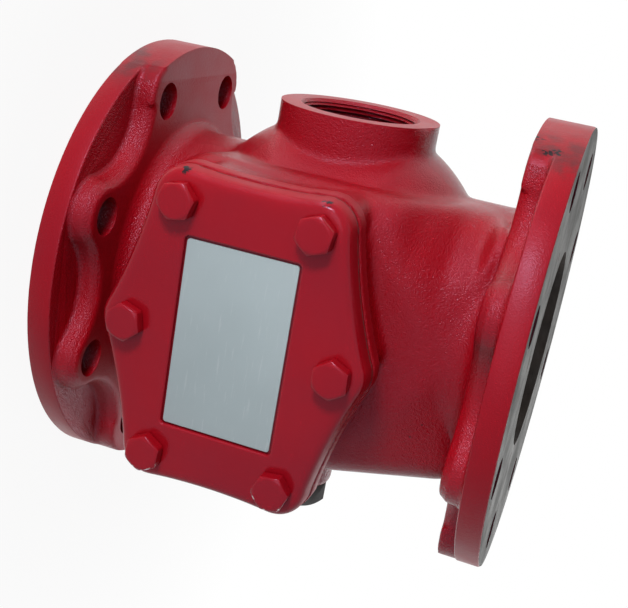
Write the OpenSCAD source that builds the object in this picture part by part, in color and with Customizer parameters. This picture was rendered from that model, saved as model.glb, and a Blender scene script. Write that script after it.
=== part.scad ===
// Wet pipe sprinkler alarm valve, nominal 4 inch, with flanged ends.
// Origin: centre of the inlet flange's gasket face. +Z is the flow, up the riser.
// The handhole cover faces -Y, and the main drain boss faces -X.

/* [Flanges] */
// Distance between the two gasket faces
face_to_face = 229; // [224:1:250]
// Outer diameter of both flanges
flange_d = 228.6; // [226:0.1:236]
// Full thickness of a flange at its bolt pads
flange_t = 23; // [19:0.5:26]
// Thickness of the thin rim between the bolt pads
rim_t = 12; // [8:0.5:15]
// Distance of the bolt circle from the flange's rim
bolt_edge = 19.05; // [18:0.05:21]
// Diameter of the bolt holes in the inlet flange
inlet_hole_d = 19; // [16:0.5:20]
// Diameter of the bolt holes in the outlet flange
outlet_hole_d = 19.5; // [16:0.5:20]
// Depth of the hollows between the bolt pads, from the rim
valley_depth = 24.3; // [20:0.1:25]
// Rounding of the pads' top edge
pad_round = 4; // [2:0.5:5]

/* [Waterway] */
// Inner diameter of the seat ring, which sets the waterway
seat_d = 90; // [84:1:94]
// Wall of the casting round the inlet bore
inlet_wall = 19; // [17:0.5:21]
// Room round the clapper inside the neck
clapper_room = 4.7; // [3:0.1:6]
// Fillet between necks and flanges
neck_fillet = 8; // [4:1:10]
// Wall of the casting round the chamber
body_wall = 11; // [8:0.5:12]

/* [Chamber] */
// Outer width of the chamber, across the flow
chamber_w = 144; // [138:1:152]
// Distance of the chamber's front wall from the flow axis
chamber_front = 75; // [72:1:78]
// The same distance at the top, under the outlet flange
chamber_top_front = 56; // [50:1:62]
// Radius of the chamber's corners
corner_r = 18; // [15:1:22]
// How far the chamber's lower corners lie below the seat
floor_drop = 6; // [4:0.5:8]
// Height where the front wall starts to lean back
chamber_z1 = 138; // [134:1:146]

/* [Handhole cover] */
// Height of the cover's centre above the hinge pin
cover_rise = 21; // [19:0.5:23]
// Distance of the cover's outer face from the flow axis
cover_face = 115.5; // [114:0.5:119]
// Thickness of the cover at its edge
cover_t = 11.5; // [9:0.5:14]
// Thickness of the cover gasket
gasket_t = 1.5; // [1:0.25:3]
// Thickness of the body's pad flange behind the gasket
pad_t = 9; // [7:0.5:11]
// Side to side distance of the four side bolts
cover_bolt_w = 120.8; // [118:0.2:124]
// Height between the side bolts
cover_bolt_h = 64; // [62:0.2:68]
// Height between the top and bottom bolts
cover_end_bolt_h = 99.8; // [98:0.2:104]
// Radius of the rounded ears round the bolts
ear_r = 14.5; // [13.5:0.5:16]
// Half width of the cover's slanting sides between two ears, from the line of their bolts
waist = 12.5; // [9:0.5:13]
// The same on the two sides that run along the flow
side_waist = 12.5; // [9:0.5:13]
// Distance of the handhole's side from the side bolts' centres
handhole_side_land = 4.7; // [4:0.1:7]
// Distance of the handhole's end from the end bolts' centres
handhole_end_land = 13.8; // [13:0.1:15]
// Corner radius of the handhole
handhole_r = 24; // [22:1:28]
// Nominal thread diameter of the cover bolts
cover_bolt_d = 10; // [8:1:11]
// Length of the cover bolts below the head
cover_bolt_l = 28; // [24:1:32]

/* [Name plate] */
// Length of the blank name plate, across the flow
plate_l = 88.6; // [78:0.2:90]
// Height of the name plate
plate_h = 53; // [44:0.5:54]
// Thickness of the name plate
plate_t = 0.8; // [0.5:0.1:1.2]
// Depth of the pocket that it sits in
plate_pocket = 1.8; // [1.4:0.1:2.5]

/* [Main drain] */
// Height of the drain boss above the inlet face
drain_z = 113; // [110:0.5:116]
// Distance of the drain's face from the flow axis
drain_face = 99; // [96:1:104]
// Outer diameter of the drain boss
drain_boss_d = 82.4; // [78:0.2:86]
// Diameter of the 2 inch pipe thread
drain_thread_d = 58.6; // [56:0.2:60]
// Length of that thread, from the face
drain_thread_l = 26; // [20:1:30]
// Height of the boss above its round shoulder
drain_rise = 14.4; // [13:0.2:16]
// Radius of the round shoulder
dome_r = 80; // [78:0.5:82]
// Width of the shoulder along the flow
dome_d = 128; // [124:1:132]
// Distance of the shoulder's flanks from the flow axis, where they fall away to the front and the back
shoulder_r = 88; // [86:0.5:90]

/* [Ports] */
// Diameter of the alarm port's 3/4 inch pipe thread
alarm_thread_d = 26; // [24:0.5:27]
// Diameter of the side port's 3/4 inch pipe thread
side_thread_d = 26; // [24:0.5:27]
// Diameter of the two gauge ports' 1/4 inch pipe threads
gauge_thread_d = 13.2; // [12:0.2:14]

/* [Clapper] */
// Height of the seat's sealing face above the inlet face
seat_z = 66; // [64:0.5:68]
// Wall of the seat ring
seat_wall = 9; // [8:0.25:11]
// Width of the ledge that carries the seat ring
seat_ledge = 3; // [2:0.25:4]
// Height of the seat ring
seat_h = 16; // [14:0.5:17]
// How far the clapper stays inside the seat ring's rim
clapper_margin = 3; // [2.5:0.25:4]
// Thickness of the rubber facing
facing_t = 5; // [4:0.5:6]
// Thickness of the clapper's disc above the facing
disc_t = 8; // [6:0.5:9]
// Distance of the hinge pin from the clapper's rim
hinge_offset = 13; // [12:0.5:15]
// Height of the hinge pin above the seat
hinge_rise = 16; // [15:0.5:18]
// Diameter of the hinge pin
pin_d = 10; // [8:0.5:11]
// Wire diameter of the clapper spring
spring_wire_d = 2; // [1.6:0.2:2.4]

/* [Clearances] */
// Running clearance of the pin, on the radius
run_gap = 0.05; // [0.02:0.01:0.08]
// Radial clearance of a thread or a press fit as modelled
thread_gap = 0.1; // [0.05:0.05:0.2]
// Gap between the facing and the seat
seal_gap = 0.2; // [0.1:0.05:0.3]

/* [Hidden] */
$fn = 64;
hull_fn = 32;
over = 1;
// How far a fillet or a hollow arc runs into the faces that it joins
blend = 0.15;

flange_r = flange_d / 2;
bolt_circle_r = flange_r - bolt_edge;
valley_r = flange_r - valley_depth;
flange_holes = 8;
rim_chamfer = 1;
pad_set_in = 1.5;
side_set_in = 0.05;
bolt_pad_r = bolt_edge - pad_set_in;
pad_draft = 1;
seat_od = seat_d + 2 * seat_wall;
bore_d = seat_od - 2 * seat_ledge;
bore_r = bore_d / 2;
clapper_r = seat_od / 2 - clapper_margin;
neck_r = clapper_r + clapper_room + body_wall;
inlet_neck_r = bore_r + inlet_wall;
outlet_pad_z = face_to_face - flange_t;
chamber_z0 = seat_z - floor_drop;
chamber_drop = 13;
chamber_top_z = outlet_pad_z - chamber_drop;
corner_draw_in = 4;
neck_taper = 20;

// Places of the six cover bolts, as seen from the front: [x, z] about the cover's centre
side_x = cover_bolt_w / 2;
side_z = cover_bolt_h / 2;
end_z = cover_end_bolt_h / 2;
cover_bolts_at = [[-side_x, -side_z], [0, -end_z], [side_x, -side_z],
                  [side_x, side_z], [0, end_z], [-side_x, side_z]];
cover_waists = [waist, waist, side_waist, waist, waist, side_waist];
cover_back = cover_face - cover_t;
pad_face = cover_back - gasket_t;
pad_back = pad_face - pad_t;
edge_round = 4;
// How far the pad stands out beyond the cover's edge
pad_proud = 0.8;
turret_inset = 4;
tapped_depth = cover_bolt_l - cover_t - gasket_t + 2;
bolt_hole_play = 0.5;
head_af = 1.6 * cover_bolt_d;
head_h = 0.64 * cover_bolt_d;
handhole_w = cover_bolt_w - 2 * handhole_side_land;
handhole_h = cover_end_bolt_h - 2 * handhole_end_land;
lip_t = 3;
lip_gap = 0.5;
plate_gap = 1;
plate_corner = 1;

// Hinge, clapper and seat
hinge_y = clapper_r + hinge_offset;
hinge_z = seat_z + hinge_rise;
cover_z = hinge_z + cover_rise;
pin_r = pin_d / 2;
facing_z = seat_z + seal_gap;
disc_z = facing_z + facing_t;
disc_top = disc_z + disc_t;
bush_wall = 2;
lug_w = 10;
lug_r = 12;
lug_root = 6;
knuckle_w = 9;
knuckle_r = 11;
side_gap = 0.5;
spring_room = 17;
knuckle_x = spring_room / 2 + side_gap;
lug_x = knuckle_x + knuckle_w + side_gap;
ring_t = 1;
pin_tail = 3;
pin_l = 2 * (lug_x + lug_w + side_gap + ring_t + pin_tail);
hub_r = 16;
hub_h = 5;
facing_bolt_d = 10;
facing_plate_room = 4;
facing_plate_r = seat_d / 2 - facing_plate_room;
facing_plate_t = 3;
stop_r = 7;
stop_z = 125;
stop_gap = 1.5;
stop_angle = 68;

// Ports
edge_chamfer = 1.5;
drain_fillet = 5;
drain_step = 2.5;
alarm_z = seat_z - seat_h / 2;
alarm_boss_r = alarm_thread_d / 2 + 6;
alarm_rise = 20;
alarm_face = inlet_neck_r + alarm_rise;
alarm_depth = 18;
alarm_passage_r = 5;
groove_h = 6;
groove_depth = 3;
side_port_y = -42;
side_port_z = 126;
side_rise = 15;
side_face = chamber_w / 2 + side_rise;
side_boss_r = side_thread_d / 2 + 4;
side_depth = 16;
gauge_boss_r = gauge_thread_d / 2 + 6;
gauge_depth = 12;
supply_gauge_z = 41;
system_gauge_z = 160;
gauge_rise = 13.3;
gauge_face = neck_r + gauge_rise;
plug_af_extra = 1;
side_plug_head = 12;
gauge_plug_head = 6;
plug_short = 2;

// Directions

// Lays a solid that was drawn up +Z on its side, so that it points to the front, -Y
module to_front() { rotate([90, 0, 0]) children(); }

// Lays a solid that was drawn up +Z on its side, so that it points to the drain, -X
module to_left() { rotate([0, -90, 0]) children(); }

// Lays a solid that was drawn up +Z on its side, so that it points to +X
module to_right() { rotate([0, 90, 0]) children(); }

// Lays a solid that was drawn up +Z on its side, so that it points to the back, +Y
module to_back() { rotate([-90, 0, 0]) children(); }

// Puts a shape, drawn in [x, z] about the cover's centre, at a distance in front of the flow axis
module at_cover(distance) { translate([0, -distance, cover_z]) to_front() children(); }

// Wavy outlines: round ears on given points, joined by hollow arcs that touch both ears

// Radius of the hollow arc between two ears that lie 2 * m apart
function hollow_r(m, ear, mid) = (m * m + mid * mid - ear * ear) / (2 * (ear - mid));

// Centre of that arc, outside the line from a to b; the outline's own centre is at [0, 0]
function hollow_at(a, b, ear, mid) =
    let (half = (b - a) / 2, m = norm(half), middle = (a + b) / 2,
         side = [half[1], -half[0]] / m,
         out = (side * middle > 0) ? side : -side)
    middle + out * (mid + hollow_r(m, ear, mid));

// One ear and the web from it to the next one; the edge draws in by the given draft over the height
module ear_and_web(a, b, ear, mid, h, draft) {
    centre = hollow_at(a, b, ear - blend, mid);
    r = hollow_r(norm(b - a) / 2, ear - blend, mid);
    slope = draft / h;
    translate(a) cylinder(h = h, r1 = ear, r2 = ear - draft);
    difference() {
        linear_extrude(h) polygon([[0, 0], a, centre, b]);
        translate([centre[0], centre[1], -over])
            cylinder(h = h + 2 * over, r1 = r - slope * over, r2 = r + draft + slope * over);
    }
}

// The hollows are given one by one, as their distances from the lines between the ears' centres
module wavy_plate(points, ear, mids, h, draft = 0) {
    count = len(points);
    for (i = [0:count - 1]) ear_and_web(points[i], points[(i + 1) % count], ear, mids[i], h, draft);
}

function drawn_in(mids, step) = [for (m = mids) m - step];

// Wavy plate whose top edge is rounded in two steps
module rounded_wavy_plate(points, ear, mids, h, round) {
    flat = h - round;
    wavy_plate(points, ear, mids, flat);
    translate([0, 0, flat]) wavy_plate(points, ear, mids, 0.6 * round, 0.25 * round);
    translate([0, 0, flat + 0.6 * round])
        wavy_plate(points, ear - 0.25 * round, drawn_in(mids, 0.25 * round), 0.4 * round, 0.5 * round);
}

// Rounded rectangle about the origin
module rounded_rect(w, h, r) {
    square([w - 2 * r, h], center = true);
    square([w, h - 2 * r], center = true);
    for (x = [-1, 1], y = [-1, 1]) translate([x * (w / 2 - r), y * (h / 2 - r)]) circle(r);
}

// Ring that fills the inside corner between a shaft of radius r and a flat face at z = 0
module corner_fillet(r, fillet) {
    rotate_extrude() difference() {
        translate([r - over, -over]) square([fillet + over - blend, fillet + over - blend]);
        translate([r + fillet - blend, fillet - blend]) circle(fillet);
    }
}

// Body: the casting with both flanges, the chamber, the drain boss and the cover pad

function flange_hole_angle(i) = (i + 0.5) * 360 / flange_holes;
flange_holes_at = [for (i = [0:flange_holes - 1])
    bolt_circle_r * [cos(flange_hole_angle(i)), sin(flange_hole_angle(i))]];
pad_waists = [for (i = [1:flange_holes]) valley_r - bolt_circle_r * cos(180 / flange_holes)];

// The sides towards -X and +X stay full, as the mould parts there
module full_side() {
    half = bolt_circle_r * sin(180 / flange_holes);
    intersection() {
        circle(flange_r - side_set_in);
        square([2 * flange_r, 2 * half], center = true);
    }
}

// One flange with its gasket face at z = 0 and its bolt pads on the upper side
module flange() {
    pad_h = flange_t - rim_t;
    cylinder(h = rim_chamfer, r1 = flange_r - rim_chamfer, r2 = flange_r);
    translate([0, 0, rim_chamfer]) cylinder(h = rim_t - rim_chamfer, r = flange_r);
    translate([0, 0, rim_t - over]) {
        wavy_plate(flange_holes_at, bolt_pad_r, pad_waists, pad_h + over - pad_round, pad_draft);
        linear_extrude(pad_h + over) full_side();
    }
    translate([0, 0, flange_t - pad_round])
        wavy_plate(flange_holes_at, bolt_pad_r - pad_draft, drawn_in(pad_waists, pad_draft), pad_round,
                   pad_round * 0.7);
}

module flange_bolt_holes(hole_d) {
    for (p = flange_holes_at) translate([p[0], p[1], -over]) cylinder(h = flange_t + 2 * over, d = hole_d);
}

// Chamber shape; inset 0 gives the outside, and the wall gives the hollow
module chamber(inset) {
    r = corner_r - inset * 0.6;
    side = chamber_w / 2 - inset - r;
    front = chamber_front - inset - r;
    top_front = chamber_top_front - inset - r;
    low = chamber_z0 + inset;
    high = chamber_top_z - inset;
    hull() {
        translate([0, 0, low]) cylinder(h = high - low, r = neck_r - inset - over / 2, $fn = 2 * hull_fn);
        for (x = [-1, 1]) {
            translate([x * side, -front, low]) sphere(r, $fn = hull_fn);
            translate([x * side, -front, chamber_z1]) sphere(r, $fn = hull_fn);
            translate([x * (side - corner_draw_in), -top_front, high]) sphere(r, $fn = hull_fn);
        }
    }
}

// Drain boss with its round shoulder, drawn along +Z from the flow axis
module drain_boss() {
    boss_r = drain_boss_d / 2;
    dome_z = drain_face - drain_rise - sqrt(dome_r * dome_r - boss_r * boss_r);
    fillet_edge = boss_r + drain_fillet;
    intersection() {
        translate([0, 0, dome_z]) sphere(dome_r);
        cylinder(h = drain_face - over, d = dome_d);
        rotate([0, 90, 0]) cylinder(h = 2 * dome_d, r = shoulder_r, center = true);
    }
    cylinder(h = drain_face - edge_chamfer, r = boss_r);
    translate([0, 0, drain_face - edge_chamfer])
        cylinder(h = edge_chamfer, r1 = boss_r, r2 = boss_r - edge_chamfer);
    translate([0, 0, sqrt(shoulder_r * shoulder_r - fillet_edge * fillet_edge)])
        corner_fillet(boss_r, drain_fillet);
}

// Pad flange for the cover, and the turret that carries it
module cover_pad() {
    at_cover(pad_back)
        wavy_plate(cover_bolts_at, ear_r + pad_proud, drawn_in(cover_waists, -pad_proud), pad_t);
    turret_back = chamber_front - 2 * corner_r;
    at_cover(turret_back)
        wavy_plate(cover_bolts_at, ear_r - turret_inset, drawn_in(cover_waists, turret_inset),
                   pad_back - turret_back + over);
}

module port_boss(r, face) {
    cylinder(h = face - 1, r = r);
    translate([0, 0, face - 1]) cylinder(h = 1, r1 = r, r2 = r - 1);
}

module place_alarm_port() { translate([0, 0, alarm_z]) to_right() children(); }
module place_side_port() { translate([0, side_port_y, side_port_z]) to_right() children(); }
module place_gauge_port(z) { translate([0, 0, z]) to_back() children(); }

// Blind pipe thread from the face down, with a smaller passage beyond it
module port_hole(r, face, depth, passage_r, passage_end) {
    translate([0, 0, face - depth]) cylinder(h = depth + over, r = r);
    translate([0, 0, passage_end]) cylinder(h = face - depth - passage_end + over, r = passage_r);
}

module body_outside() {
    flange();
    translate([0, 0, face_to_face]) mirror([0, 0, 1]) flange();
    translate([0, 0, flange_t]) corner_fillet(inlet_neck_r, neck_fillet);
    translate([0, 0, rim_t]) cylinder(h = chamber_z0 - rim_t, r = inlet_neck_r);
    translate([0, 0, chamber_z0 - over / 2]) cylinder(h = neck_taper, r1 = inlet_neck_r - over / 4, r2 = neck_r - over / 4);
    translate([0, 0, outlet_pad_z]) mirror([0, 0, 1]) corner_fillet(neck_r, neck_fillet);
    translate([0, 0, chamber_z0 - over]) cylinder(h = face_to_face - rim_t - chamber_z0, r = neck_r);
    chamber(0);
    translate([0, 0, drain_z]) to_left() drain_boss();
    cover_pad();
    place_alarm_port() port_boss(alarm_boss_r, alarm_face);
    place_side_port() port_boss(side_boss_r, side_face);
    for (z = [supply_gauge_z, system_gauge_z]) place_gauge_port(z) port_boss(gauge_boss_r, gauge_face);
}

module body_inside() {
    flange_bolt_holes(inlet_hole_d);
    translate([0, 0, face_to_face]) mirror([0, 0, 1]) flange_bolt_holes(outlet_hole_d);
    translate([0, 0, -over]) cylinder(h = seat_z, d = bore_d);
    pocket_z = seat_z - seat_h - gasket_t;
    translate([0, 0, pocket_z])
        cylinder(h = chamber_z0 + body_wall + over - pocket_z, r = seat_od / 2 + thread_gap);
    translate([0, 0, alarm_z - groove_h / 2]) cylinder(h = groove_h, r = seat_od / 2 + groove_depth);
    chamber(body_wall);
    translate([0, 0, chamber_top_z - body_wall]) cylinder(h = face_to_face, d = bore_d);
    translate([0, 0, drain_z]) to_left()
        port_hole(drain_thread_d / 2, drain_face, drain_thread_l, drain_thread_d / 2 - drain_step, 0);
    at_cover(chamber_front - corner_r)
        linear_extrude(pad_face) rounded_rect(handhole_w, handhole_h, handhole_r);
    at_cover(pad_face - tapped_depth) for (p = cover_bolts_at)
        translate(p) cylinder(h = tapped_depth + over, r = cover_bolt_d / 2 + thread_gap);
    place_alarm_port()
        port_hole(alarm_thread_d / 2, alarm_face, alarm_depth, alarm_passage_r, seat_od / 2);
    place_side_port()
        port_hole(side_thread_d / 2, side_face, side_depth, alarm_passage_r, chamber_w / 2 - 2 * body_wall);
    place_gauge_port(supply_gauge_z)
        port_hole(gauge_thread_d / 2, gauge_face, gauge_depth, gauge_thread_d / 4, bore_r - over);
    place_gauge_port(system_gauge_z)
        port_hole(gauge_thread_d / 2, gauge_face, gauge_depth, gauge_thread_d / 4, neck_r - 2 * body_wall);
}

module body() color("crimson") difference() {
    body_outside();
    body_inside();
}

// Seat

module seat_gasket() color("dimgray") translate([0, 0, seat_z - seat_h - gasket_t]) difference() {
    cylinder(h = gasket_t, d = seat_od);
    translate([0, 0, -over]) cylinder(h = gasket_t + 2 * over, d = seat_d + 4);
}

// Bronze seat with the alarm groove in its face and holes from the groove to the alarm port
module seat_ring() {
    groove_r = (seat_d + seat_od) / 4;
    groove_w = 3;
    color("peru") difference() {
        translate([0, 0, seat_z - seat_h]) cylinder(h = seat_h, d = seat_od);
        translate([0, 0, seat_z - seat_h - over]) cylinder(h = seat_h + 2 * over, d = seat_d);
        translate([0, 0, alarm_z]) difference() {
            cylinder(h = seat_h, r = groove_r + groove_w / 2);
            translate([0, 0, -over]) cylinder(h = seat_h + 2 * over, r = groove_r - groove_w / 2);
        }
        for (i = [0:5]) rotate(60 * i + 30) translate([groove_r, 0, alarm_z + groove_w]) to_right()
            cylinder(h = seat_od, d = groove_w - over);
    }
}

// Handhole cover

// Hinge lug on the inside of the cover, in its own plane: a round eye on a tapering arm
module hinge_lug() {
    reach = cover_back - hinge_y;
    cylinder(h = lug_w, r = lug_r);
    linear_extrude(lug_w) polygon([[0, lug_r], [0, -lug_r], [reach + over, -lug_r], [reach + over, lug_r + lug_root]]);
}

module cover_solid() {
    at_cover(cover_back) rounded_wavy_plate(cover_bolts_at, ear_r, cover_waists, cover_t, edge_round);
    at_cover(cover_back - lip_t) linear_extrude(lip_t + over)
        rounded_rect(handhole_w - 2 * lip_gap, handhole_h - 2 * lip_gap, handhole_r - lip_gap);
    for (x = [-lug_x - lug_w, lug_x])
        translate([x, -hinge_y, hinge_z]) rotate([0, 0, -90]) rotate([90, 0, 0]) mirror([0, 0, 1]) hinge_lug();
    translate([0, 0, stop_z - cover_z]) at_cover(stop_reach) cylinder(h = cover_back - stop_reach, r = stop_r);
}

// Distance from the flow axis to the raised clapper's top, at the height of the stop
stop_along = (stop_z - hinge_z - (disc_top + hub_h - hinge_z) * cos(stop_angle)) / sin(stop_angle);
stop_reach = hinge_y - stop_along * cos(stop_angle) + (disc_top + hub_h - hinge_z) * sin(stop_angle)
    + stop_gap + stop_r * cos(stop_angle) / sin(stop_angle);

module cover() color("firebrick") difference() {
    cover_solid();
    at_cover(cover_face - plate_pocket) linear_extrude(plate_pocket + over)
        rounded_rect(plate_l + 2 * plate_gap, plate_h + 2 * plate_gap, plate_corner + plate_gap);
    at_cover(cover_back - over) for (p = cover_bolts_at)
        translate(p) cylinder(h = cover_t + 2 * over, r = cover_bolt_d / 2 + bolt_hole_play);
    translate([-lug_x - lug_w - over, -hinge_y, hinge_z]) to_right()
        cylinder(h = 2 * (lug_x + lug_w + over), r = pin_r + bush_wall);
}

module cover_gasket() color("black") at_cover(pad_face) difference() {
    wavy_plate(cover_bolts_at, ear_r, cover_waists, gasket_t);
    translate([0, 0, -over]) linear_extrude(gasket_t + 2 * over)
        rounded_rect(handhole_w, handhole_h, handhole_r);
    for (p = cover_bolts_at) translate([p[0], p[1], -over])
        cylinder(h = gasket_t + 2 * over, r = cover_bolt_d / 2 + bolt_hole_play);
}

// Hexagon head with a chamfered top, from z = 0 up
module hex_head(af, h) {
    intersection() {
        cylinder(h = h, d = af / cos(30), $fn = 6);
        union() {
            cylinder(h = 0.8 * h, d = af / cos(30) + over);
            translate([0, 0, 0.8 * h]) cylinder(h = 0.2 * h, d1 = af / cos(30) + over, d2 = 0.96 * af);
        }
    }
}

// Turn of each bolt head as it was left after tightening
head_turns = [12, 41, 26, 8, 33, 20];

module cover_bolts() color("indianred") for (i = [0:len(cover_bolts_at) - 1])
    at_cover(cover_face) translate(cover_bolts_at[i]) {
        rotate(head_turns[i]) hex_head(head_af, head_h);
        translate([0, 0, -cover_bolt_l]) cylinder(h = cover_bolt_l + over, d = cover_bolt_d);
    }

module name_plate() color("lightsteelblue") at_cover(cover_face - plate_pocket)
    linear_extrude(plate_t) rounded_rect(plate_l, plate_h, plate_corner);

// Clapper assembly

module place_hinge(x) { translate([x, -hinge_y, hinge_z]) to_right() children(); }

// Arm from the disc to a knuckle, drawn in the plane of the swing
module clapper_arm() {
    to_disc = hinge_z - disc_z;
    linear_extrude(knuckle_w)
        polygon([[0, 0], [0, knuckle_r], [hinge_y - hub_r, hub_h + disc_t - to_disc], [hinge_y, -to_disc],
                 [hinge_y - clapper_r + 4, -to_disc], [hinge_y - clapper_r, disc_t - to_disc]]);
    cylinder(h = knuckle_w, r = knuckle_r);
}

module clapper() color("darkgoldenrod") difference() {
    union() {
        translate([0, 0, disc_z]) cylinder(h = disc_t - 2, r = clapper_r);
        translate([0, 0, disc_z + disc_t - 2]) cylinder(h = 2, r1 = clapper_r, r2 = clapper_r - 2);
        translate([0, 0, disc_z]) cylinder(h = disc_t + hub_h, r = hub_r);
        for (x = [-knuckle_x - knuckle_w, knuckle_x]) translate([x, -hinge_y, hinge_z])
            rotate([90, 0, 90]) clapper_arm();
    }
    translate([0, 0, disc_z - over]) cylinder(h = disc_t + hub_h + 2 * over, r = facing_bolt_d / 2 + bolt_hole_play);
    place_hinge(-knuckle_x - knuckle_w - over) cylinder(h = 2 * (knuckle_x + knuckle_w + over), r = pin_r + bush_wall);
}

module clapper_facing() color("black") translate([0, 0, facing_z]) difference() {
    cylinder(h = facing_t, r = clapper_r - 1);
    translate([0, 0, -over]) cylinder(h = facing_t + 2 * over, r = facing_bolt_d / 2 + bolt_hole_play);
}

module facing_plate() color("silver") translate([0, 0, facing_z - facing_plate_t]) difference() {
    union() {
        cylinder(h = 1, r1 = facing_plate_r - 1, r2 = facing_plate_r);
        translate([0, 0, 1]) cylinder(h = facing_plate_t - 1, r = facing_plate_r);
    }
    translate([0, 0, -over]) cylinder(h = facing_plate_t + 2 * over, r = facing_bolt_d / 2 + bolt_hole_play);
}

facing_grip = facing_plate_t + facing_t + disc_t + hub_h;
washer_t = 2;
nut_h = 0.8 * facing_bolt_d;

module facing_bolt() color("gainsboro") translate([0, 0, facing_z - facing_plate_t]) {
    mirror([0, 0, 1]) hex_head(1.6 * facing_bolt_d, 0.64 * facing_bolt_d);
    cylinder(h = facing_grip + washer_t + nut_h + 2, d = facing_bolt_d);
}

module facing_washer() color("silver") translate([0, 0, disc_top + hub_h]) difference() {
    cylinder(h = washer_t, d = 2 * facing_bolt_d);
    translate([0, 0, -over]) cylinder(h = washer_t + 2 * over, r = facing_bolt_d / 2 + bolt_hole_play);
}

module facing_nut() color("gainsboro") translate([0, 0, disc_top + hub_h + washer_t]) difference() {
    hex_head(1.6 * facing_bolt_d, nut_h);
    translate([0, 0, -over]) cylinder(h = nut_h + 2 * over, r = facing_bolt_d / 2 + thread_gap);
}

// Hinge

ring_groove = 0.8;

module hinge_pin() {
    ring_x = lug_x + lug_w + side_gap;
    color("silver") difference() {
        place_hinge(-pin_l / 2) {
            cylinder(h = 1, r1 = pin_r - 1, r2 = pin_r);
            translate([0, 0, 1]) cylinder(h = pin_l - 2, r = pin_r);
            translate([0, 0, pin_l - 1]) cylinder(h = 1, r1 = pin_r, r2 = pin_r - 1);
        }
        for (x = [-ring_x - ring_t, ring_x]) place_hinge(x) difference() {
            cylinder(h = ring_t, r = pin_r + over);
            translate([0, 0, -over]) cylinder(h = ring_t + 2 * over, r = pin_r - ring_groove);
        }
    }
}

// Bushes with a bore that runs on the pin, one at each given place
module bush(x, w) place_hinge(x) difference() {
    cylinder(h = w, r = pin_r + bush_wall - run_gap / 2);
    translate([0, 0, -over]) cylinder(h = w + 2 * over, r = pin_r + run_gap);
}

module lug_bushes() color("goldenrod") {
    bush(-lug_x - lug_w, lug_w);
    bush(lug_x, lug_w);
}

module clapper_bushes() color("goldenrod") {
    bush(-knuckle_x - knuckle_w, knuckle_w);
    bush(knuckle_x, knuckle_w);
}

module pin_retaining_rings() {
    ring_x = lug_x + lug_w + side_gap;
    color("dimgray") for (x = [-ring_x - ring_t, ring_x]) place_hinge(x) difference() {
        cylinder(h = ring_t, r = pin_r + 3);
        translate([0, 0, -over]) cylinder(h = ring_t + 2 * over, r = pin_r - ring_groove + run_gap);
        translate([-pin_r / 2, 0, -over]) cube([pin_r, pin_r + 3 + over, ring_t + 2 * over]);
    }
}

// Torsion spring: a close coil round the pin, with one leg on the clapper and one on the cover

coil_r = pin_r + spring_wire_d / 2 + 0.4;
coil_turns = 5.25;
coil_steps = 12;
coil_pitch = spring_wire_d + 0.4;
coil_x0 = -coil_turns * coil_pitch / 2;
wire_sides = 8;
leg_lift = disc_top + spring_wire_d / 2 + 0.3;
lip_face = cover_back - lip_t;

// The wire's centre line, as [x, y, z] about the hinge axis
clapper_leg = [[coil_x0, 30, leg_lift - hinge_z], [coil_x0, 16, (leg_lift - hinge_z + coil_r) / 2 + 1]];
coil_path = [for (i = [0:coil_turns * coil_steps])
    let (a = 90 + 360 * i / coil_steps)
    [coil_x0 + coil_pitch * i / coil_steps, coil_r * cos(a), coil_r * sin(a)]];
cover_leg = [[-coil_x0, -coil_r, 14], [-coil_x0, -(lip_face - hinge_y) + spring_wire_d / 2 + 0.3, 32]];
spring_path = concat(clapper_leg, coil_path, cover_leg);

function unit(v) = v / norm(v);
function heading(path, i) = unit(path[min(i + 1, len(path) - 1)] - path[max(i - 1, 0)]);

// Ring of points round one point of a path; the hinge's own direction keeps the rings from twisting
function wire_ring(path, i, r) =
    let (t = heading(path, i), u = unit(cross(t, [1, 0, 0.001])), v = cross(t, u))
    [for (k = [0:wire_sides - 1]) path[i] + r * (cos(360 * k / wire_sides) * u + sin(360 * k / wire_sides) * v)];

module wire(path, r) {
    rings = len(path);
    points = [for (i = [0:rings - 1]) each wire_ring(path, i, r)];
    sides = [for (i = [0:rings - 2], k = [0:wire_sides - 1])
        let (n = (k + 1) % wire_sides, a = i * wire_sides)
        [a + k, a + n, a + n + wire_sides, a + k + wire_sides]];
    ends = [[for (k = [wire_sides - 1:-1:0]) k], [for (k = [0:wire_sides - 1]) (rings - 1) * wire_sides + k]];
    polyhedron(points, concat(sides, ends));
}

module clapper_spring() color("lightgray") translate([0, -hinge_y, hinge_z]) wire(spring_path, spring_wire_d / 2);

// Plugs, drawn along +Z from the port's face

module hex_plug(thread_d, depth, head) {
    translate([0, 0, -depth]) cylinder(h = depth + over, r = thread_d / 2 - thread_gap);
    hex_head(thread_d + plug_af_extra, head);
}

module side_port_plug() color("dimgray") place_side_port() translate([0, 0, side_face])
    hex_plug(side_thread_d, side_depth - plug_short, side_plug_head);

module gauge_plug(z) color("dimgray") place_gauge_port(z) translate([0, 0, gauge_face])
    hex_plug(gauge_thread_d, gauge_depth - plug_short, gauge_plug_head);

module supply_gauge_plug() gauge_plug(supply_gauge_z);

module system_gauge_plug() gauge_plug(system_gauge_z);

body();
seat_gasket();
seat_ring();
cover();
cover_gasket();
cover_bolts();
name_plate();
clapper();
clapper_facing();
facing_plate();
facing_bolt();
facing_washer();
facing_nut();
hinge_pin();
lug_bushes();
clapper_bushes();
pin_retaining_rings();
clapper_spring();
side_port_plug();
supply_gauge_plug();
system_gauge_plug();
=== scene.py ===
import math

import bpy
import numpy as np
from mathutils import Matrix, Vector


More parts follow.
